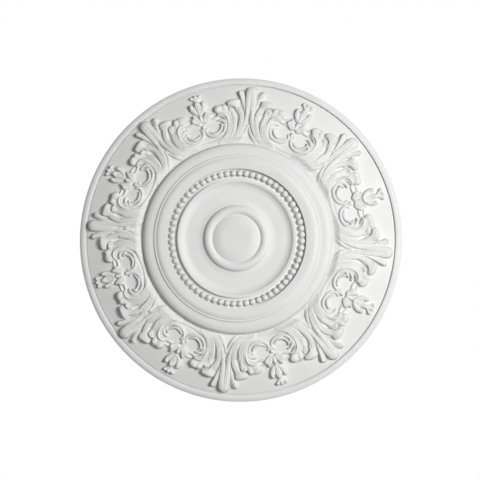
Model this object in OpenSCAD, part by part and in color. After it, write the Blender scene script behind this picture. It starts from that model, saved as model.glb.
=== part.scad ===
// Ceiling rose: a round moulded plate with stepped mouldings, a row of beads and a field of acanthus leaves.
// The flat back lies on z = 0 and faces up, against the ceiling. The face hangs down, along -Z.

/* [Overall] */
// Diameter over the rim
rose_d = 700; // [600:10:1000]
// Depth from the ceiling to the flat of the boss
rose_depth = 58; // [50:1:90]

/* [Boss] */
// Diameter of the flat at the very centre
boss_flat_d = 56; // [20:1:80]
// Width of the rounded edge round that flat
boss_edge_w = 22; // [8:1:30]
// Fall of the rounded edge
boss_edge_fall = 5; // [2:0.5:8]
// Width of the crease between the boss and its ring
crease_w = 3; // [2:0.5:5]
// Depth of that crease
crease_depth = 1.5; // [0.5:0.25:3]

/* [Boss ring] */
// Width of the ring round the boss
ring_w = 18; // [10:1:28]
// Crest of the ring above its inner edge
ring_rise = 3.5; // [1:0.5:6]
// Outer edge of the ring below its inner edge
ring_fall = 2; // [0:0.5:4]
// Width of the small step outside the ring
ring_step_w = 5; // [2:0.5:8]
// Drop of that step, and of the hollow beyond it
ring_step_drop = 2.5; // [1:0.5:5]

/* [Dish] */
// Width of the hollow that runs down to the dish
inner_cove_w = 10; // [5:1:16]
// Width of the dish's flat floor
dish_w = 18; // [8:1:30]
// Width of the hollow that rises from the dish
outer_cove_w = 15; // [8:1:22]
// Rise of that hollow
outer_cove_rise = 4; // [2:0.5:7]
// Width of the narrow bead line at its top
line_w = 4; // [2:0.5:7]
// Height of that line
line_rise = 1.5; // [0.5:0.25:3]
// Rise from the line to the lip of the bead channel
lip_rise = 2.5; // [1:0.5:5]
// Width of that rise
lip_slope_w = 3; // [1:0.5:6]
// Width of the lip
lip_w = 4; // [2:0.5:7]

/* [Beads] */
// Diameter of a bead
bead_d = 13.4; // [9:0.2:18]
// Clear width on each side of the beads
bead_side_gap = 2.6; // [1:0.2:5]
// Depth of the bead channel below its inner lip
channel_depth = 4.5; // [3:0.5:7]
// Height of a bead's middle above the channel's floor
bead_lift = 0.8; // [0:0.1:2]
// Least space between two beads
bead_gap = 0.2; // [0:0.1:1]

/* [Plateau and ovolo] */
// Width of the flat outside the beads
plateau_w = 14; // [8:1:20]
// Height of that flat above the inner lip
plateau_rise = 1.5; // [0:0.5:4]
// Width of the round that falls from it
round_w = 11; // [6:1:16]
// Fall of that round
round_fall = 3; // [1:0.5:6]
// Width of the fillet below the round
fillet_w = 4; // [2:0.5:8]
// Drop from the fillet to the ovolo
ovolo_drop = 3; // [1:0.5:6]
// Width of the ovolo's flat top
ovolo_top_w = 7; // [3:1:12]
// Width of the ovolo's quarter round
ovolo_w = 20; // [12:1:28]
// Height of the ovolo's quarter round
ovolo_h = 17; // [10:1:20]

/* [Field] */
// Width of the slope from the ovolo's foot up to the field
valley_w = 8; // [4:1:12]
// Height of the field's inner edge above the ovolo's foot
valley_rise = 2; // [0:0.5:4]
// Bulge of the field between its two edges
field_bulge = 1.5; // [0:0.25:3]

/* [Rim] */
// Width of the rim band
rim_w = 13; // [9:1:20]
// Thickness of the plate at the rim
rim_t = 15; // [12:1:20]
// Depth of the groove inside the rim
groove_depth = 3.5; // [2:0.5:6]
// Width of the groove's sloping side
groove_side_w = 3; // [1.5:0.5:5]
// Radius of the rim's rounded edges
rim_round = 3.5; // [1:0.5:4]

/* [Carving] */
// Palmettes round the field, with a flower drop between each two
units = 8; // [6:1:10]
// Angle of the first palmette, clockwise from the top as seen from below
first_angle = 5.5; // [0:0.5:45]
// Height of the tallest leaves above the field
carving_h = 10; // [6:0.5:12]
// Width of the widest leaf
leaf_w = 19; // [14:0.5:24]
// Diameter of the round bud at the foot of a drop
bud_d = 10; // [6:0.5:14]
// Diameter of the two rosettes beyond the bud
rosette_d = 11; // [6:0.5:15]

/* [Hidden] */

// Radii, from the centre outwards
boss_flat_r = boss_flat_d / 2;
boss_r = boss_flat_r + boss_edge_w;
ring_in_r = boss_r + crease_w;
ring_out_r = ring_in_r + ring_w;
ring_step_r = ring_out_r + ring_step_w;
dish_in_r = ring_step_r + inner_cove_w;
dish_out_r = dish_in_r + dish_w;
line_in_r = dish_out_r + outer_cove_w;
lip_in_r = line_in_r + line_w + lip_slope_w;
channel_in_r = lip_in_r + lip_w;
bead_ring_r = channel_in_r + bead_side_gap + bead_d / 2;
channel_out_r = bead_ring_r + bead_d / 2 + bead_side_gap;
plateau_out_r = channel_out_r + plateau_w;
round_out_r = plateau_out_r + round_w;
fillet_out_r = round_out_r + fillet_w;
ovolo_in_r = fillet_out_r + ovolo_drop / 2;
ovolo_top_r = ovolo_in_r + ovolo_top_w;
foot_r = ovolo_top_r + ovolo_w;
field_in_r = foot_r + valley_w;
rim_r = rose_d / 2;
rim_in_r = rim_r - rim_w;

// Heights above the back, from the centre outwards
boss_edge_h = rose_depth - boss_edge_fall;
ring_out_h = boss_edge_h - ring_fall;
ring_step_h = ring_out_h - ring_step_drop / 2;
dish_h = ring_step_h - 2 * ring_step_drop;
line_in_h = dish_h + outer_cove_rise;
line_out_h = line_in_h + line_rise;
lip_h = line_out_h + lip_rise;
channel_h = lip_h - channel_depth;
plateau_h = lip_h + plateau_rise;
fillet_h = plateau_h - round_fall;
ovolo_top_h = fillet_h - ovolo_drop;
foot_h = ovolo_top_h - ovolo_h;
field_in_h = foot_h + valley_rise;
groove_h = rim_t - groove_depth;
rim_inner_h = rim_t - rim_round / 3;

unit_angle = 360 / units;
// The same whole number of beads stands over each palmette, as many as fit
beads = units * floor(2 * PI * bead_ring_r / units / (bead_d + bead_gap));

// Small upright at the ovolo's foot and at the groove
quirk_h = 1;
// Depth of the plate under the field, and how far the field reaches into what is round it
bed_depth = 4;
field_lap = 3;
field_bands = 2;
// How far a leaf's edges are sunk in the field
leaf_sink = 2.5;
// Straight pieces in an arc of the section
steps = 8;
// Least width of a leaf, as a share of its own, at its foot and tip
tip_share = 0.3;
// How far each soft arc stands out, as a share of its fall
soft_bulge = 1 / 6;
round_bulge = 1 / 3;
ovolo_bulge = 1 / 4;
rim_bulge = 1 / 2;
cove_bulge = -1;

// Points of an arc between two points of the profile, bulging away from the back by its own height
function arc(a, b, bulge) =
    let (
        chord = b - a,
        reach = norm(chord),
        along = chord / reach,
        across = [-along.y, along.x],
        half = 2 * atan(2 * bulge / reach),
        radius = reach / 2 / sin(half)
    )
    [
        for (i = [1 : steps - 1])
            let (turn = half * (2 * i / steps - 1))
            (a + b) / 2 + along * radius * sin(turn) + across * radius * (cos(turn) - cos(half))
    ];

// Half of the section of the plate and its mouldings, as radius and height above the back
profile = [
    [0, 0],
    [0, rose_depth],
    [boss_flat_r, rose_depth],
    each arc([boss_flat_r, rose_depth], [boss_r, boss_edge_h], boss_edge_fall * soft_bulge),
    [boss_r, boss_edge_h],
    [boss_r + crease_w / 2, boss_edge_h - crease_depth],
    [ring_in_r, boss_edge_h],
    each arc([ring_in_r, boss_edge_h], [ring_out_r, ring_out_h], ring_rise + ring_fall / 2),
    [ring_out_r, ring_out_h],
    [ring_out_r, ring_step_h],
    [ring_step_r, ring_step_h],
    [ring_step_r, ring_step_h - ring_step_drop / 2],
    each arc([ring_step_r, ring_step_h - ring_step_drop / 2], [dish_in_r, dish_h], cove_bulge),
    [dish_in_r, dish_h],
    [dish_out_r, dish_h],
    each arc([dish_out_r, dish_h], [line_in_r, line_in_h], cove_bulge),
    [line_in_r, line_in_h],
    [line_in_r, line_out_h],
    [line_in_r + line_w, line_out_h],
    [lip_in_r, lip_h],
    [channel_in_r, lip_h],
    [channel_in_r, channel_h],
    [channel_out_r, channel_h],
    [channel_out_r, plateau_h],
    [plateau_out_r, plateau_h],
    each arc([plateau_out_r, plateau_h], [round_out_r, fillet_h], round_fall * round_bulge),
    [round_out_r, fillet_h],
    [fillet_out_r, fillet_h],
    [ovolo_in_r, ovolo_top_h],
    [ovolo_top_r, ovolo_top_h],
    each arc([ovolo_top_r, ovolo_top_h], [foot_r, foot_h + quirk_h], ovolo_h * ovolo_bulge),
    [foot_r, foot_h + quirk_h],
    [foot_r, foot_h - bed_depth],
    [rim_in_r, groove_h - bed_depth],
    [rim_in_r, groove_h + quirk_h],
    [rim_in_r + groove_side_w, rim_inner_h],
    each arc([rim_in_r + groove_side_w, rim_inner_h], [rim_r, rim_t - rim_round], rim_round * rim_bulge),
    [rim_r, rim_t - rim_round],
    [rim_r, 0]
];

// Half of the section of the field, which reaches a little way into the ovolo, the rim and the plate under it
field_profile = [
    [foot_r - field_lap, foot_h - bed_depth - field_lap],
    [foot_r - field_lap, foot_h],
    [foot_r, foot_h],
    for (i = [0 : field_bands])
        let (r = field_in_r + (rim_in_r - field_in_r) * i / field_bands)
        [r, field_h(r)],
    [rim_in_r + field_lap, groove_h],
    [rim_in_r + field_lap, groove_h - bed_depth - field_lap]
];

// Height of the bare field at a radius, with the short slope at the ovolo's foot
function field_h(r) =
    let (share = (r - field_in_r) / (rim_in_r - field_in_r))
    share < 0
        ? foot_h + valley_rise * max(0, r - foot_r) / valley_w
        : field_in_h + (groove_h - field_in_h) * share + 4 * field_bulge * share * (1 - share);

// A point of the carving: x runs from 0 at a palmette's middle to 1 at the next drop's middle,
// and y from 0 at the ovolo's foot to 1 at the groove
function place(p) =
    let (r = foot_r + (rim_in_r - foot_r) * p.y, turn = unit_angle / 2 * p.x)
    [r * cos(turn), r * sin(turn)];

// A point of the curve that four control points draw
function curve(c, t) =
    pow(1 - t, 3) * c[0] + 3 * t * pow(1 - t, 2) * c[1] + 3 * t * t * (1 - t) * c[2] + t * t * t * c[3];

// Height along a leaf, as a share of its own: it comes up out of the field, swells and dives back at its tip
function swell(t) = t <= 0 || t >= 1 ? -0.3 : (0.62 + 0.38 * sin(90 * t)) * sqrt(1 - pow(t, 5));

// A point on the carving's surface, h above the bare field, or sunk into it for a leaf's foot
function on_field(at, h) = [at.x, at.y, field_h(norm(at)) + h];

// A sheet through curves that run side by side from foot to tip. Its two outer curves are sunk in the field,
// and the others have a height at the foot and one at the tip. A hollow that ends below the field parts
// two tips.
module sheet(curves, heights, stations) {
    across = len(curves);
    last = across * (stations - 1);
    polyhedron(
        points = [
            for (i = [0 : stations - 1], k = [0 : across - 1])
                let (
                    t = i / (stations - 1),
                    edge = k == 0 || k == across - 1 || i == 0 || i == stations - 1,
                    h = heights[k][0] + (heights[k][1] - heights[k][0]) * t
                )
                on_field(place(curve(curves[k], t)), edge ? -leaf_sink : h * swell(t))
        ],
        faces = [
            [for (k = [across - 1 : -1 : 0]) k],
            [for (k = [0 : across - 1]) last + k],
            for (i = [0 : stations - 2], k = [0 : across - 1])
                let (next = (k + 1) % across)
                [across * i + k, across * i + next, across * (i + 1) + next, across * (i + 1) + k]
        ],
        convexity = 6
    );
}

// One leaf with a ridge along its middle: c is its curve, w its width and h its height
module leaf(c, w, h, stations = 6) {
    rings = [
        for (i = [0 : stations - 1])
            let (
                t = i / (stations - 1),
                at = place(curve(c, t)),
                ahead = place(curve(c, t + 0.01)) - place(curve(c, t - 0.01)),
                side = [-ahead.y, ahead.x] / norm(ahead) * w / 2 * max(swell(t), tip_share)
            )
            [on_field(at - side, -leaf_sink), on_field(at, h * swell(t)), on_field(at + side, -leaf_sink)]
    ];
    last = 3 * (stations - 1);
    polyhedron(
        points = [for (ring = rings) each ring],
        faces = [
            [2, 1, 0],
            [last, last + 1, last + 2],
            for (i = [0 : stations - 2], k = [0 : 2])
                [3 * i + k, 3 * i + (k + 1) % 3, 3 * i + 3 + (k + 1) % 3, 3 * i + 3 + k]
        ],
        convexity = 4
    );
}

function flip(c) = [for (p = c) [-p.x, p.y]];
function both_sides(half) = [for (k = [len(half) - 1 : -1 : 1]) flip(half[k]), each half];
function both_heights(half) = [for (k = [len(half) - 1 : -1 : 1]) half[k], each half];

// The palmette: ridges and the hollows between them, from its middle outwards
palmette = [
    [[0.00, 0.22], [0.00, 0.30], [0.00, 0.50], [0.00, 0.99]],
    [[0.26, 0.03], [0.08, 0.20], [0.02, 0.45], [0.06, 0.98]],
    [[0.34, 0.03], [0.14, 0.20], [0.06, 0.50], [0.15, 0.86]],
    [[0.42, 0.03], [0.22, 0.16], [0.04, 0.62], [0.40, 0.77]],
    [[0.48, 0.03], [0.30, 0.16], [0.16, 0.60], [0.48, 0.70]],
    [[0.54, 0.03], [0.38, 0.14], [0.20, 0.68], [0.66, 0.64]],
    [[0.62, 0.03], [0.46, 0.12], [0.36, 0.50], [0.72, 0.54]]
];
palmette_heights = [[0.3, 0.75], [0.8, 0.9], [0.5, -0.3], [0.9, 1], [0.5, -0.3], [0.9, 1], [0, 0]];

// A bellflower's middle petal, the hollow beside it, its outer petal and its edge
flower = [
    [[0, 0.56], [0, 0.64], [0, 0.72], [0, 0.84]],
    [[0.02, 0.56], [0.04, 0.64], [0.06, 0.72], [0.07, 0.76]],
    [[0.03, 0.57], [0.09, 0.64], [0.13, 0.72], [0.13, 0.83]],
    [[0.05, 0.58], [0.14, 0.64], [0.17, 0.72], [0.17, 0.80]]
];
flower_heights = [[0.8, 0.8], [0.4, -0.3], [0.6, 0.7], [0, 0]];
flower_start = flower[0][0].y;
small_flower_start = 0.8;
small_flower_size = 0.62;

// Places of the bud and of the two rosettes along the drop, and the rosettes' angle from its middle
bud_place = 0.37;
rosette_place = 0.49;
rosette_angle = unit_angle * 0.04;

// The same flower nearer the rim and smaller
function small(c) =
    [for (p = c) [p.x * small_flower_size, small_flower_start + (p.y - flower_start) * small_flower_size]];

// The leaves beside a palmette, and half of what lies round the drop
module half_unit() {
    // Small side lobe
    leaf([[0.08, 0.58], [0.09, 0.68], [0.14, 0.80], [0.20, 0.93]], leaf_w * 0.55, carving_h * 0.7, 5);
    // Scroll that curls up beside the drop
    leaf([[0.50, 0.42], [0.40, 0.06], [1.02, 0.04], [0.90, 0.34]], leaf_w * 0.4, carving_h * 0.6, 8);
    // Leaf tips that point into the pocket
    leaf([[0.46, 0.50], [0.52, 0.52], [0.58, 0.52], [0.64, 0.51]], leaf_w * 0.4, carving_h * 0.5, 3);
    leaf([[0.45, 0.44], [0.50, 0.45], [0.56, 0.44], [0.62, 0.42]], leaf_w * 0.35, carving_h * 0.5, 3);
    // Twig and pointed leaf beside the drop
    leaf([[0.66, 0.55], [0.74, 0.53], [0.80, 0.52], [0.90, 0.50]], leaf_w * 0.25, carving_h * 0.4, 3);
    leaf([[0.95, 0.42], [0.88, 0.46], [0.84, 0.52], [0.81, 0.62]], leaf_w * 0.55, carving_h * 0.6, 4);
}

// One palmette with half of the drop on each side of it, and the drop after it
module unit() {
    sheet(both_sides(palmette), carving_h * both_heights(palmette_heights), 7);
    half_unit();
    mirror([0, 1, 0]) half_unit();
    rotate(unit_angle / 2) {
        sheet(both_sides(flower), carving_h * both_heights(flower_heights), 5);
        sheet([for (c = both_sides(flower)) small(c)], carving_h * 0.7 * both_heights(flower_heights), 4);
        buds();
        // Stem that joins two palmettes round the foot of the drop
        leaf([[-0.66, 0.34], [-0.56, -0.08], [0.56, -0.08], [0.66, 0.34]], leaf_w * 0.4, carving_h * 0.5, 9);
    }
}

// Round bud and two rosettes at the foot of a drop, with its middle along +X
module buds() {
    bud_at = norm(place([0, bud_place]));
    rosette_at = norm(place([0, rosette_place]));
    translate([bud_at, 0, field_h(bud_at)]) sphere(d = bud_d, $fn = 8);
    for (side = [-1, 1])
        rotate(side * rosette_angle)
            translate([rosette_at, 0, field_h(rosette_at)]) sphere(d = rosette_d, $fn = 8);
}

// The field with all its carving as one skin, brought to the width between the ovolo and the rim
module carved_field() {
    resize([2 * (rim_in_r + field_lap), 2 * (rim_in_r + field_lap), 0]) {
        rotate_extrude($fn = 72) polygon(field_profile);
        for (i = [0 : units - 1])
            rotate(90 - first_angle - i * unit_angle) unit();
    }
}

module bead_row() {
    for (i = [0 : beads - 1])
        rotate(90 - first_angle + (i + 0.5) * 360 / beads)
            translate([bead_ring_r, 0, channel_h + bead_lift]) sphere(d = bead_d);
}

// The plate with its mouldings and its beads
module plate() {
    rotate_extrude() polygon(profile);
    bead_row();
}

// The whole casting, turned so that its face looks down
module ceiling_rose() {
    color("white")
        rotate([0, 180, 0]) {
            plate();
            carved_field();
        }
}

$fn = 96;
ceiling_rose();
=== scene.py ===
# A round moulded ceiling rose in white plaster, seen from below.
# z = 0 is the ceiling and the face hangs down along -Z. Sizes in the dictionaries are millimetres and degrees.
import math

import bmesh
import bpy
import numpy as np
from mathutils import Matrix, Vector


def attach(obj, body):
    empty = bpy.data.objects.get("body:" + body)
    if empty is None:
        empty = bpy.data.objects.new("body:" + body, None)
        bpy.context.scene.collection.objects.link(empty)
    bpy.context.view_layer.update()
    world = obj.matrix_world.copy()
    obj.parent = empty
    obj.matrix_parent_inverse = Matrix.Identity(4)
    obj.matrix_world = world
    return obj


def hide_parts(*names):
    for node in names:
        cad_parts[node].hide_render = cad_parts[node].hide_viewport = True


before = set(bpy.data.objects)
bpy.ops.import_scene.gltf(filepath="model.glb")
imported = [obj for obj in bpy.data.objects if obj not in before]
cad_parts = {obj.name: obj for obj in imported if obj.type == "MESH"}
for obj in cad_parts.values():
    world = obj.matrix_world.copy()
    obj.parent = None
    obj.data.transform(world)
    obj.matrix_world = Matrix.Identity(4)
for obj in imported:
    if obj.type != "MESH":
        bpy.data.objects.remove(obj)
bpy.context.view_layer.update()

mm = 0.001
firstAngle = 5.5  # middle of the first palmette, clockwise from +Y as seen from below
unitCount = 8  # palmettes round the field
sharpFrom = 50  # degrees between two faces
print("frame loaded")


# a socket that can be used in sums, so that a pattern reads as one expression
class Wire:
    def __init__(self, maker, socket):
        self.maker = maker
        self.socket = socket

    def combine(self, operation, first, second):
        return self.maker.add("ShaderNodeMath", {"operation": operation}, {0: first, 1: second})

    def __add__(self, other):
        return self.combine("ADD", self, other)

    def __radd__(self, other):
        return self.combine("ADD", other, self)

    def __sub__(self, other):
        return self.combine("SUBTRACT", self, other)

    def __rsub__(self, other):
        return self.combine("SUBTRACT", other, self)

    def __mul__(self, other):
        return self.combine("MULTIPLY", self, other)

    def __rmul__(self, other):
        return self.combine("MULTIPLY", other, self)

    def clamped(self):
        return self.maker.add("ShaderNodeClamp", {}, {"Value": self})


# the nodes of one material, or of the surroundings
class Finish:
    def __init__(self, owner):
        owner.use_nodes = True
        self.tree = owner.node_tree
        self.tree.nodes.clear()

    # any node: its settings first, then the values or links of its sockets
    def add(self, kind, settings, inputs, output=0):
        node = self.tree.nodes.new(kind)
        for key, value in settings.items():
            setattr(node, key, value)
        for key, value in inputs.items():
            if isinstance(value, Wire):
                self.tree.links.new(value.socket, node.inputs[key])
            else:
                node.inputs[key].default_value = value
        return Wire(self, node.outputs[output]) if node.outputs else None

    def noise(self, place, scale, detail):
        return self.add("ShaderNodeTexNoise", {}, {"Vector": place, "Scale": scale, "Detail": detail})


# matt white plaster with a cast skin; each pattern is its noise scale and detail, heights are in metres
plaster = {
    "light": (0.80, 0.80, 0.795, 1),
    "dull": (0.755, 0.752, 0.742, 1),
    # painted shade: the grey that creases and inner corners are darkened towards
    "hollow": (0.60, 0.595, 0.58, 1),
    "clouds": (14, 4),
    "skin": (130, 3),
    "grain": (900, 2),
    "wave": (22, 1),
    "cloudContrast": 1.6,
    "cloudFloor": 0.45,
    # how sharply and how far creases take on the painted shade
    "hollowReach": 9,
    "hollowShare": 0.5,
    "roughness": 0.58,
    "skinRoughness": 0.12,
    "cloudRoughness": 0.08,
    "grainHeight": 0.00006,
    "skinHeight": 0.00022,
    "waveHeight": 0.0009,
    "bumpStrength": 0.55,
    "refraction": 1.45,
    "gloss": 0.35,
}


def plasterFinish(name):
    material = bpy.data.materials.new(name)
    f = Finish(material)
    place = f.add("ShaderNodeTexCoord", {}, {}, "Object")
    clouds = f.noise(place, *plaster["clouds"])
    skin = f.noise(place, *plaster["skin"])
    grain = f.noise(place, *plaster["grain"])
    wave = f.noise(place, *plaster["wave"])
    curve = f.add("ShaderNodeNewGeometry", {}, {}, "Pointiness")
    # painted shade: inner corners and creases, found by pointiness, are darkened towards a grey that stands in
    # for shade
    hollow = ((0.5 - curve) * plaster["hollowReach"]).clamped()
    dull = (clouds * plaster["cloudContrast"] - plaster["cloudFloor"]).clamped()
    # a colour mix takes its factor at socket 0, its colours at 6 and 7, and gives its result at 2
    base = f.add("ShaderNodeMix", {"data_type": "RGBA"}, {0: dull, 6: plaster["light"], 7: plaster["dull"]}, 2)
    # mixes the painted crease shade into the plaster colour
    colour = f.add("ShaderNodeMix", {"data_type": "RGBA"}, {
        0: hollow * plaster["hollowShare"],
        6: base,
        7: plaster["hollow"],
    }, 2)
    roughness = (
        (skin - 0.5) * plaster["skinRoughness"]
        + (clouds - 0.5) * plaster["cloudRoughness"]
        + plaster["roughness"]
    )
    height = grain * plaster["grainHeight"] + skin * plaster["skinHeight"] + wave * plaster["waveHeight"]
    bump = f.add("ShaderNodeBump", {}, {"Strength": plaster["bumpStrength"], "Distance": 1.0, "Height": height})
    shader = f.add("ShaderNodeBsdfPrincipled", {}, {
        "Base Color": colour,
        "Roughness": roughness,
        "IOR": plaster["refraction"],
        "Specular IOR Level": plaster["gloss"],
        "Normal": bump,
    })
    f.add("ShaderNodeOutputMaterial", {}, {"Surface": shader})
    return material


# rounded shading that still breaks at sharp corners
def smoothShade(bm):
    for face in bm.faces:
        face.smooth = True
    for edge in bm.edges:
        edge.smooth = edge.calc_face_angle(0) < math.radians(sharpFrom)


def finishPiece(bm, name, material):
    mesh = bpy.data.meshes.new(name)
    bm.to_mesh(mesh)
    bm.free()
    mesh.materials.append(material)
    piece = bpy.data.objects.new(name, mesh)
    bpy.context.scene.collection.objects.link(piece)
    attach(piece, "root")
    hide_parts("ceiling_rose")
    return piece


# place on the face: angle is clockwise from +Y as seen from below, height is measured down from the ceiling
def onFace(angle, radius, height):
    turn = np.radians(angle)
    return -radius * np.sin(turn) * mm, radius * np.cos(turn) * mm, -height * mm


# the plate and its mouldings: each run is width, rise and bulge, from the middle outwards
plate = {
    "depth": 58,
    "runs": {
        "bossFlat": (28, 0, 0),
        "bossEdge": (22, -5, 1.3),
        "creaseIn": (1, -2, 0),
        "creaseOut": (2, 2, 0),
        "ring": (16.5, -2, 4.4),
        "ringSide": (1.8, -4.5, 0.3),
        "ringStep": (4.7, -0.5, 0),
        "innerCove": (10, -1.25, -0.4),
        "dish": (18, 0, 0),
        "outerCove": (15.5, 6, -1.7),
        "lipSlope": (0.8, 1.2, 0),
        "lip": (6.7, 0.8, 0.4),
        "channelWall": (0, -9.5, 0),
        "channel": (21.6, 0, 0),
        "plateauWall": (0, 11, 0),
        "plateau": (14, 0, 0),
        "round": (11, -3, 1),
        "fillet": (4, 0, 0),
        "ovoloDrop": (1.5, -3, 0),
        "ovoloTop": (7, 0, 0),
        "ovolo": (14, -3.5, 1),
        "ovoloWall": (6, -15, 1),
        "bedWall": (0, -3, 0),
        "bed": (130.9, -19.25, 0),
        "rimWall": (0, 6.4, 0),
        "rimSlope": (1, 0.6, 0),
        "rim": (12, -3, 1.4),
        "edge": (0, -11.5, 0),
    },
    "arcSteps": 16,
    "cornerFrom": 15,
    "cornerSegments": 3,
    "softCorner": 0.45,
    "mergeGap": 0.01,
    "turns": 384,
}


# radius and height at the end of each run
def runEnds():
    ends, radius, height = {}, 0, plate["depth"]
    for name, (width, rise, _) in plate["runs"].items():
        radius, height = radius + width, height + rise
        ends[name] = (radius, height)
    return ends


# points of an arc between a and b that stands out by its bulge
def arcPoints(a, b, bulge, steps):
    chord = b - a
    reach = chord.length
    along = chord / reach
    across = Vector((-along.y, along.x))
    half = 2 * math.atan(2 * bulge / reach)
    radius = reach / 2 / math.sin(half)
    turns = [half * (2 * i / steps - 1) for i in range(1, steps)]
    middle = (a + b) / 2 - across * radius * math.cos(half)
    return [middle + (along * math.sin(t) + across * math.cos(t)) * radius for t in turns]


ends = runEnds()
rimInner = ends["bed"][0]


def buildPlate(material):
    bm = bmesh.new()
    chain = [Vector((0, plate["depth"]))]
    for name, (_, _, bulge) in plate["runs"].items():
        to = Vector(ends[name])
        if bulge:
            chain += arcPoints(chain[-1], to, bulge, plate["arcSteps"])
        chain.append(to)
    chain.append(Vector((0, 0)))
    verts = [bm.verts.new(onFace(0, p.x, p.y)) for p in chain]
    for a, b in zip(verts, verts[1:]):
        bm.edges.new((a, b))
    corners = []
    for before, v, after in zip(verts, verts[1:], verts[2:]):
        if (v.co - before.co).angle(after.co - v.co) > math.radians(plate["cornerFrom"]):
            corners.append(v)
    bmesh.ops.bevel(bm, geom=corners, offset=plate["softCorner"] * mm, affect="VERTICES",
                    segments=plate["cornerSegments"], profile=0.5, material=-1, clamp_overlap=True)
    bmesh.ops.spin(bm, geom=bm.verts[:] + bm.edges[:], cent=(0, 0, 0), axis=(0, 0, 1), angle=2 * math.pi,
                   steps=plate["turns"], use_merge=True)
    bmesh.ops.remove_doubles(bm, verts=bm.verts[:], dist=plate["mergeGap"] * mm)
    bmesh.ops.recalc_face_normals(bm, faces=bm.faces[:])
    smoothShade(bm)
    finishPiece(bm, "plaster_plate", material)


# lift is from the channel's floor to a bead's middle
beads = {"count": 64, "size": 13.2, "ring": 139.3, "lift": 4.8, "around": 28, "rings": 14}


def buildBeads(material):
    bm = bmesh.new()
    made = bmesh.ops.create_uvsphere(bm, u_segments=beads["around"], v_segments=beads["rings"],
                                     radius=beads["size"] / 2 * mm)
    step = 360 / beads["count"]
    place = onFace(firstAngle + step / 2, beads["ring"], ends["channel"][1] + beads["lift"])
    bmesh.ops.translate(bm, verts=made["verts"], vec=place)
    bmesh.ops.spin(bm, geom=bm.verts[:] + bm.edges[:] + bm.faces[:], cent=(0, 0, 0), axis=(0, 0, 1),
                   angle=math.radians(360 - step), steps=beads["count"] - 1, use_duplicate=True)
    bmesh.ops.recalc_face_normals(bm, faces=bm.faces[:])
    smoothShade(bm)
    finishPiece(bm, "bead_row", material)


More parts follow.
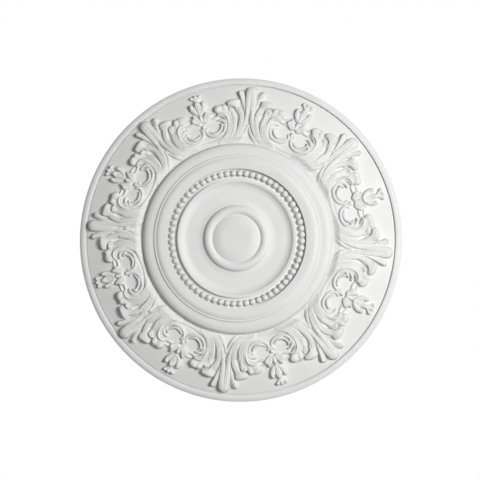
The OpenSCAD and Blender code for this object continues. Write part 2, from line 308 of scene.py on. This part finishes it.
# the carved field, drawn on half a unit: degrees from a palmette's middle, and millimetres.
# each stroke is a run of points from foot to tip: angle, radius, half width, height.
# crown lowers its sides, lean tips it over sideways, blunt flattens its tip and ribs flute it.
carving = {
    "strokes": {
        "heartFiller": {
            "points": [(0, 270, 4, 6.4), (0, 282, 7.5, 7.4), (0, 296.5, 10, 8.6), (0, 308, 11.5, 9.8),
                       (0, 319, 12, 11)],
            "crown": 0.25,
        },
        "heartStrand": {
            "points": [(8.4, 210, 4, 5), (5, 221, 4.2, 6.2), (2.8, 236, 4.4, 7.2),
                       (1.6, 253.5, 4.8, 7.8), (1.15, 273, 5.2, 8.2), (1.15, 298, 5.6, 9.6),
                       (1.2, 314, 5.6, 10.6)],
            "crown": 0.3, "blunt": 1.3, "ribs": 2,
        },
        "lowerStrand": {
            "points": [(0.2, 245, 2.4, 5), (1.1, 232, 3.4, 5.2), (2.6, 222, 4.4, 5.4),
                       (4.6, 213, 5.2, 5.4), (6.2, 207, 5.4, 5)],
            "crown": 0.45, "ribs": 2,
        },
        "sideLobe": {
            "points": [(1.9, 272, 2.4, 5), (2.3, 286, 4.4, 6), (3.2, 302, 5.6, 7.6), (4.2, 317, 6, 9.6)],
            "crown": 0.3, "lean": -0.25, "blunt": 1.1, "ribs": 2,
        },
        "secondLobe": {
            "points": [(10.4, 209, 4.4, 5), (6.8, 219.5, 5.2, 6.2), (4.6, 234, 5.6, 7.2),
                       (3.7, 249, 5.6, 7.8), (3.6, 264, 5.4, 7.4), (4.4, 276, 6.2, 7.6),
                       (5.6, 286, 6.6, 8)],
            "crown": 0.2, "ribs": 2,
        },
        "secondLobeTip": {
            "points": [(6.6, 278, 6, 5.6), (6.9, 287, 12.4, 8.2), (7.2, 296.5, 14.4, 10.4)],
            "crown": 0.25, "blunt": 2.4,
        },
        "thirdLobeInner": {
            "points": [(13, 209, 4.8, 5), (9.4, 220.5, 5.4, 6), (7.7, 234, 6, 7), (7.1, 249, 6, 7.6),
                       (7.2, 262, 5.2, 7.2), (7.5, 273, 5.6, 7), (8.3, 281.5, 8.2, 9.8)],
            "crown": 0.2, "blunt": 1.9, "ribs": 2,
        },
        "thirdLobe": {
            "points": [(15.5, 209.5, 4.8, 5.5), (11.2, 222, 5.6, 6.5), (9.5, 236, 6, 7.5),
                       (9.1, 251.5, 6, 7.6), (9.6, 265, 6.6, 6.8), (10.8, 276, 9, 7),
                       (12.6, 284, 12, 8.4)],
            "crown": 0.15, "blunt": 1.8, "ribs": 3,
        },
        "scrollTop": {
            "points": [(9.7, 246, 3, 7), (9.9, 258, 4, 8.4), (10.8, 267.5, 4.6, 9.6),
                       (12.4, 272, 4.4, 10.2), (14, 272, 2.6, 9.6)],
            "crown": 0.55,
        },
        "thirdLobeLeftTip": {
            "points": [(10.6, 274, 4, 6.4), (11, 281, 5.6, 8), (11.4, 286.5, 6, 9.6)],
            "crown": 0.2, "blunt": 1.2,
        },
        "thirdLobeRightTip": {
            "points": [(12.6, 274, 6, 6.4), (13.4, 279.5, 8.6, 8), (13.9, 284, 9.6, 9.8)],
            "crown": 0.2, "blunt": 1.2,
        },
        "band": {
            "points": [(9.8, 238, 3, 6), (10.6, 228, 3.4, 6), (12.4, 221, 3.8, 5.6),
                       (15.4, 216, 4.2, 5.2), (18.8, 212.5, 4.4, 4.8), (22.6, 211, 4.6, 4.5)],
            "crown": 0.45, "ribs": 2,
        },
        "scrollOuter": {
            "points": [(11, 258, 3.6, 6.4), (11.2, 246, 3.6, 6.2), (12.2, 234.5, 3.7, 5.8),
                       (14, 228, 3.7, 5.4), (17, 225.5, 3.6, 5), (19.8, 228.5, 3.4, 4.6),
                       (21.3, 235, 3.2, 4.2), (21.6, 242, 2.9, 3.8), (21, 247, 2.4, 4.2)],
            "crown": 0.45,
        },
        "scrollInner": {
            "points": [(13.2, 246, 2.4, 6), (13.9, 239, 2.6, 6.2), (15.3, 233.6, 2.6, 6.2),
                       (17, 231.6, 2.6, 6), (18.8, 233.4, 2.4, 5), (20, 237, 2, 3.6)],
            "crown": 0.5,
        },
        "upperTeeth": {
            "points": [(10.3, 252, 4, 6.4), (10.6, 260, 5, 6.8), (11.6, 267, 5.8, 7.4),
                       (13.2, 270.5, 4.6, 8.4), (14.6, 270.5, 2.2, 8.6)],
            "crown": 0.2, "ribs": 2,
        },
        "middleTeeth": {
            "points": [(11.2, 250, 4, 6), (12.2, 256, 4, 6.2), (13.4, 258.6, 2.8, 6.6),
                       (14.8, 258.6, 1.2, 6.8)],
            "crown": 0.35,
        },
        "lowerTeeth": {
            "points": [(11.5, 243, 3, 6), (12.6, 247.5, 3, 6), (13.9, 250.4, 1.4, 6.2)],
            "crown": 0.35,
        },
        "upperTwig": {
            "points": [(15.4, 275.6, 1.9, 3), (18.8, 276, 1.9, 3.4)],
            "crown": 0.4,
        },
        "lowerTwig": {
            "points": [(14.8, 267.4, 1.8, 3.6), (16.6, 265.6, 2.4, 3.8), (18.6, 266, 2, 3.6)],
            "crown": 0.4,
        },
        "spoonLeaf": {
            "points": [(21.6, 261, 3.6, 5), (20.4, 266, 6, 5.6), (19.2, 272.5, 6.6, 7.4)],
            "crown": 0.1, "blunt": 1.3,
        },
        "pointedLeaf": {
            "points": [(21.6, 263, 3, 6), (20.6, 270, 5, 6.6), (19.9, 277, 4.2, 7.6),
                       (19.6, 281, 2.6, 8.4)],
            "crown": 0.35,
        },
        "bud": {
            "points": [(22.5, 247, 3.6, 4.6), (22.5, 252, 4.6, 6)],
            "crown": 0.6,
        },
        "budStem": {
            "points": [(22.5, 240, 1.8, 3.8), (22.5, 247, 1.8, 4.2)],
            "crown": 0.4,
        },
        "calyx": {
            "points": [(22.5, 261.6, 4.4, 6), (22.5, 270, 4.6, 7), (22.5, 276, 4, 8.6)],
            "crown": 0.45, "blunt": 1.4,
        },
        "flowerSide": {
            "points": [(22, 281, 2, 6), (20.8, 289, 4.8, 6.4), (20, 298, 5.4, 7.2), (19.9, 305, 4, 9.4)],
            "crown": 0.3,
        },
        "flowerMiddle": {
            "points": [(22.5, 281, 2.6, 7.2), (22.5, 291, 6, 7.8), (22.5, 300, 7.6, 8.4),
                       (22.5, 306.5, 5.6, 10.6)],
            "crown": 0.3, "ribs": 2,
        },
        "smallFlowerSide": {
            "points": [(22.1, 312.5, 2, 5), (21.5, 319, 3.8, 5.6), (20.9, 322, 3.4, 7.8)],
            "crown": 0.3,
        },
        "smallFlowerMiddle": {
            "points": [(22.5, 311.5, 2, 5.6), (22.5, 319, 4.4, 6.2), (22.5, 322.5, 4, 8.6)],
            "crown": 0.3,
        },
    },
    # cut lines: angle, radius, half width, depth
    "cuts": {
        "heartAxis": [(0, 253, 1.5, 3), (0, 268, 2.1, 4.4), (0, 280, 1.3, 2.6), (0, 300, 0.9, 1.2),
                      (0, 322, 0.8, 0.9)],
        "heartSide": [(2.1, 262, 1, 1.5), (2, 276, 1.1, 2), (2.05, 290, 0.9, 1)],
        "tearDrop": [(4.7, 260, 1.4, 7), (5.7, 261.5, 2, 9), (6.2, 266, 1.7, 9), (6.5, 276, 1.3, 9),
                     (7.1, 283.5, 1.3, 9), (9.2, 287, 1.5, 7)],
        "toothShadow": [(12.3, 262.5, 1.2, 2.4), (13.3, 262.6, 1.8, 4), (14.2, 262, 1.2, 2.4)],
        "rosetteGap": [(20.2, 281.5, 1.4, 3), (21.2, 279.5, 1.4, 3.4), (22.5, 279, 1.4, 3)],
        "budGap": [(21.6, 258.6, 1.8, 6), (22.5, 259.4, 2.4, 9)],
    },
    "sideFall": 1.5,  # width over which a stroke's edge drops
    "ribDepth": 2.4,
    "footRun": 13,  # relief grows over this width from the ovolo's foot
    "rimGap": 0.5,
    "rimFade": 2,
    "runSteps": 6,  # straight steps between two points of a run
    "acrossCells": 132,
    "outCells": 160,
    "blur": 0.42,  # spread of the softening
    "skirt": 6,  # how far the piece goes down into the plate
    "lap": 2,  # how far it goes under its neighbours
    "footDrop": 1,
    "valley": 15,  # width of the slope at the ovolo's foot
    "valleyRise": 4.5,
    "bulge": 1.5,
    "grooveHeight": 11.5,  # field level at the rim
    "notchWidth": 4.5,
    "notchDepth": 3.5,
    "scale": 1.35,  # from drawn heights to the finished relief
}
footRadius, footHeight = ends["ovoloWall"][0], ends["ovoloWall"][1] - carving["footDrop"]


def softStep(t):
    t = np.clip(t, 0, 1)
    return t * t * (3 - 2 * t)


# the plain field under the ornament: a short rise from the ovolo's foot, a low hump, and a notch along the rim
def fieldHeight(radius):
    start = footRadius + carving["valley"]
    share = (radius - start) / (rimInner - start)
    top = footHeight + carving["valleyRise"]
    slope = footHeight + carving["valleyRise"] * np.clip((radius - footRadius) / carving["valley"], 0, 1)
    field = top + (carving["grooveHeight"] - top) * share + 4 * carving["bulge"] * share * (1 - share)
    inNotch = (radius - rimInner + carving["notchWidth"]) / carving["notchWidth"]
    notch = carving["notchDepth"] * softStep(inNotch)
    return np.where(share < 0, slope, np.where(share > 1, carving["grooveHeight"], field)) - notch


# smooth run through control points: columns are x, y and any other values
def smoothRun(points):
    p = np.array(points, float)
    turn, radius = np.radians(p[:, 0]), p[:, 1]
    p = np.c_[radius * np.sin(turn), radius * np.cos(turn), p[:, 2:]]
    p = np.vstack([2 * p[0] - p[1], p, 2 * p[-1] - p[-2]])
    run = []
    for a, b, c, d in zip(p, p[1:], p[2:], p[3:]):
        for t in np.arange(carving["runSteps"]) / carving["runSteps"]:
            bend = (2 * a - 5 * b + 4 * c - d) * t * t + (3 * b - a - 3 * c + d) * t ** 3
            run.append(0.5 * (2 * b + (c - a) * t + bend))
    return np.array(run + [p[-2]])


# the point of a run that is nearest to each place on the grid:
# its distance, which side of the run the place is on, the share of the way along, and the run's values there
def nearestOnRun(x, y, run):
    best = np.full(x.shape, 1e9)
    side = np.zeros(x.shape)
    share = np.zeros(x.shape)
    values = np.zeros(x.shape + (run.shape[1] - 2,))
    for i, (a, b) in enumerate(zip(run, run[1:])):
        dx, dy = b[0] - a[0], b[1] - a[1]
        t = np.clip(((x - a[0]) * dx + (y - a[1]) * dy) / (dx * dx + dy * dy + 1e-9), 0, 1)
        ox, oy = x - a[0] - t * dx, y - a[1] - t * dy
        gap = np.hypot(ox, oy)
        nearer = gap < best
        best = np.where(nearer, gap, best)
        side = np.where(nearer, np.sign(dx * oy - dy * ox), side)
        share = np.where(nearer, (i + t) / (len(run) - 1), share)
        values = np.where(nearer[..., None], a[2:] + t[..., None] * (b[2:] - a[2:]), values)
    return best, side, share, values


# height of one stroke over the plain field
def strokeHeight(x, y, stroke):
    run = smoothRun(stroke["points"])
    gap, side, share, values = nearestOnRun(x, y, run)
    heading = run[-1][:2] - run[-2][:2]
    heading /= np.hypot(*heading)
    ox, oy = x - run[-1][0], y - run[-1][1]
    ahead, beside = ox * heading[0] + oy * heading[1], ox * heading[1] - oy * heading[0]
    gap = np.where(share > 0.999, np.hypot(ahead * stroke.get("blunt", 1), beside), gap)
    half, height = values[..., 0], values[..., 1]
    fall = softStep((half - gap) / np.minimum(carving["sideFall"], half) + 0.5)
    across = np.clip(gap / half, 0, 1)
    section = 1 - stroke.get("crown", 0) * across ** 2 + stroke.get("lean", 0) * side * across
    wave = (1 - np.cos(2 * np.pi * stroke.get("ribs", 0) * across)) / 2
    flutes = carving["ribDepth"] * wave * softStep(share * 5)  # full depth a fifth of the way along
    return (height * section - flutes) * fall


def halfUnitRelief(angles, radii):
    angle, radius = np.meshgrid(np.radians(angles), radii)
    x, y = radius * np.sin(angle), radius * np.cos(angle)
    relief = np.zeros(x.shape)
    for stroke in carving["strokes"].values():
        relief = np.maximum(relief, strokeHeight(x, y, stroke))
    for cut in carving["cuts"].values():
        gap, _, _, values = nearestOnRun(x, y, smoothRun(cut))
        relief -= values[..., 1] * np.exp(-(gap / values[..., 0]) ** 2)
    return np.maximum(relief, 0)


# light blur, as a mould softens a carved edge; the grid mirrors at both sides
def softened(relief, cell):
    spread = carving["blur"] / cell
    reach = int(3 * spread) + 1
    weights = np.exp(-0.5 * (np.arange(-reach, reach + 1) / spread) ** 2)
    weights /= weights.sum()
    for axis, mode in enumerate(("edge", "reflect")):
        pad = [(0, 0), (0, 0)]
        pad[axis] = (reach, reach)
        wide = np.pad(relief, pad, mode=mode)
        size = relief.shape[axis]
        relief = sum(np.take(wide, range(i, i + size), axis) * w for i, w in enumerate(weights))
    return relief


# each piece holds two units: a flat sheet with walls and a back, whose vertices then go to their places
def buildField(material):
    across, out = carving["acrossCells"], carving["outCells"]
    inner, outer = footRadius - carving["lap"], rimInner + carving["lap"]
    halfAngle = 180 / unitCount
    radii = np.linspace(inner, outer, out + 1)
    relief = halfUnitRelief(np.linspace(0, halfAngle, across + 1), radii)
    relief = softened(relief, (outer - inner) / out) * carving["scale"]
    atRim = softStep((rimInner + carving["rimGap"] - radii) / carving["rimFade"])
    atFoot = np.clip((radii - inner) / carving["footRun"], 0, 1)
    relief *= (atRim * atFoot)[:, None]
    unit = np.hstack([relief, relief[:, -2::-1]])
    double = np.hstack([unit, unit[:, 1:]])
    print("relief", relief.shape, "highest", round(float(relief.max()), 2), "mm")
    columns = double.shape[1] - 1
    pieceCount = unitCount // 2
    for k in range(pieceCount):
        bm = bmesh.new()
        bmesh.ops.create_grid(bm, x_segments=columns, y_segments=out, size=0.5)
        rim = [e for e in bm.edges if e.is_boundary]
        wall = bmesh.ops.extrude_edge_only(bm, edges=rim)["geom"]
        low = [v for v in wall if isinstance(v, bmesh.types.BMVert)]
        bmesh.ops.translate(bm, verts=low, vec=(0, 0, -1))
        lowEdges = [e for e in wall if isinstance(e, bmesh.types.BMEdge) and e.is_boundary]
        bmesh.ops.edgeloop_fill(bm, edges=lowEdges)
        bmesh.ops.recalc_face_normals(bm, faces=bm.faces[:])
        smoothShade(bm)
        piece = finishPiece(bm, f"carved_field_{k + 1}", material)
        flat = np.empty(len(piece.data.vertices) * 3)
        piece.data.vertices.foreach_get("co", flat)
        flat = flat.reshape(-1, 3)
        column = np.rint((flat[:, 0] + 0.5) * columns).astype(int)
        row = np.rint((flat[:, 1] + 0.5) * out).astype(int)
        angle = firstAngle + 360 / pieceCount * (k + column / columns)
        # relief in front, skirt behind
        rise = np.where(flat[:, 2] > -0.5, double[row, column], -carving["skirt"])
        moved = onFace(angle, radii[row], fieldHeight(radii[row]) + rise)
        piece.data.vertices.foreach_set("co", np.c_[moved].ravel())
        piece.data.update()


castPlaster = plasterFinish("cast_plaster")
buildPlate(castPlaster)
print("plate done")
buildBeads(castPlaster)
print("beads done")
buildField(castPlaster)
print("field done")

# the camera is below the rose, turned a few degrees to the right and down from straight underneath
view = {"aim": (-0.0034, -0.0021, -0.012), "away": 2.45, "right": 6.0, "down": 2.6, "lens": 85}


def buildCamera():
    data = bpy.data.cameras.new("lookUp")
    camera = bpy.data.objects.new("lookUp", data)
    bpy.context.scene.collection.objects.link(camera)
    data.lens = view["lens"]
    right, down = math.radians(view["right"]), math.radians(view["down"])
    way = Vector((-math.sin(right) * math.cos(down), -math.sin(down), -math.cos(right) * math.cos(down)))
    camera.location = Vector(view["aim"]) + way * view["away"]
    side = Vector((0, 1, 0)).cross(way).normalized()
    up = way.cross(side)
    camera.rotation_mode = "QUATERNION"
    camera.rotation_quaternion = Matrix((side, up, way)).transposed().to_quaternion()
    bpy.context.scene.camera = camera


# white surroundings, one broad key from the right, a weak light for the ceiling side, a pale floor
studio = {
    "ambient": 0.12,
    "white": (1, 1, 1, 1),
    "key": {"from": (-0.57, 0.085, -0.82), "away": 3.6, "size": 1.1, "power": 117},
    "top": {"from": (0.5, -0.5, 0.7), "away": 3.5, "size": 2.0, "power": 45},
    "floorHeight": -3.2,
    "floorSize": 6,
    "floorColour": (0.85, 0.85, 0.84, 1),
    "floorRoughness": 0.8,
}


def areaLight(name, values):
    data = bpy.data.lights.new(name, "AREA")
    light = bpy.data.objects.new(name, data)
    bpy.context.scene.collection.objects.link(light)
    data.shape = "DISK"
    data.size = values["size"]
    data.energy = values["power"]
    way = Vector(values["from"]).normalized()
    light.location = way * values["away"]
    light.rotation_mode = "QUATERNION"
    light.rotation_quaternion = way.to_track_quat("Z", "Y")
    light.visible_camera = False


# the camera sees plain white, the rose is lit by a dimmer white
def buildSurroundings():
    world = bpy.data.worlds.new("paleRoom")
    bpy.context.scene.world = world
    room = Finish(world)
    direct = room.add("ShaderNodeLightPath", {}, {}, "Is Camera Ray")
    felt = room.add("ShaderNodeBackground", {}, {"Color": studio["white"], "Strength": studio["ambient"]})
    seen = room.add("ShaderNodeBackground", {}, {"Color": studio["white"]})
    surface = room.add("ShaderNodeMixShader", {}, {0: direct, 1: felt, 2: seen})
    room.add("ShaderNodeOutputWorld", {}, {"Surface": surface})


def buildFloor():
    bm = bmesh.new()
    bmesh.ops.create_grid(bm, x_segments=1, y_segments=1, size=studio["floorSize"])
    bmesh.ops.translate(bm, verts=bm.verts[:], vec=(0, 0, studio["floorHeight"]))
    mesh = bpy.data.meshes.new("floor")
    bm.to_mesh(mesh)
    bm.free()
    floor = bpy.data.objects.new("floor", mesh)
    bpy.context.scene.collection.objects.link(floor)
    material = bpy.data.materials.new("pale_floor")
    pale = Finish(material)
    shader = pale.add("ShaderNodeBsdfPrincipled", {}, {
        "Base Color": studio["floorColour"],
        "Roughness": studio["floorRoughness"],
    })
    pale.add("ShaderNodeOutputMaterial", {}, {"Surface": shader})
    mesh.materials.append(material)


buildCamera()
buildSurroundings()
areaLight("key", studio["key"])
areaLight("top", studio["top"])
buildFloor()
bpy.context.scene.view_settings.view_transform = "Standard"
print("studio done")
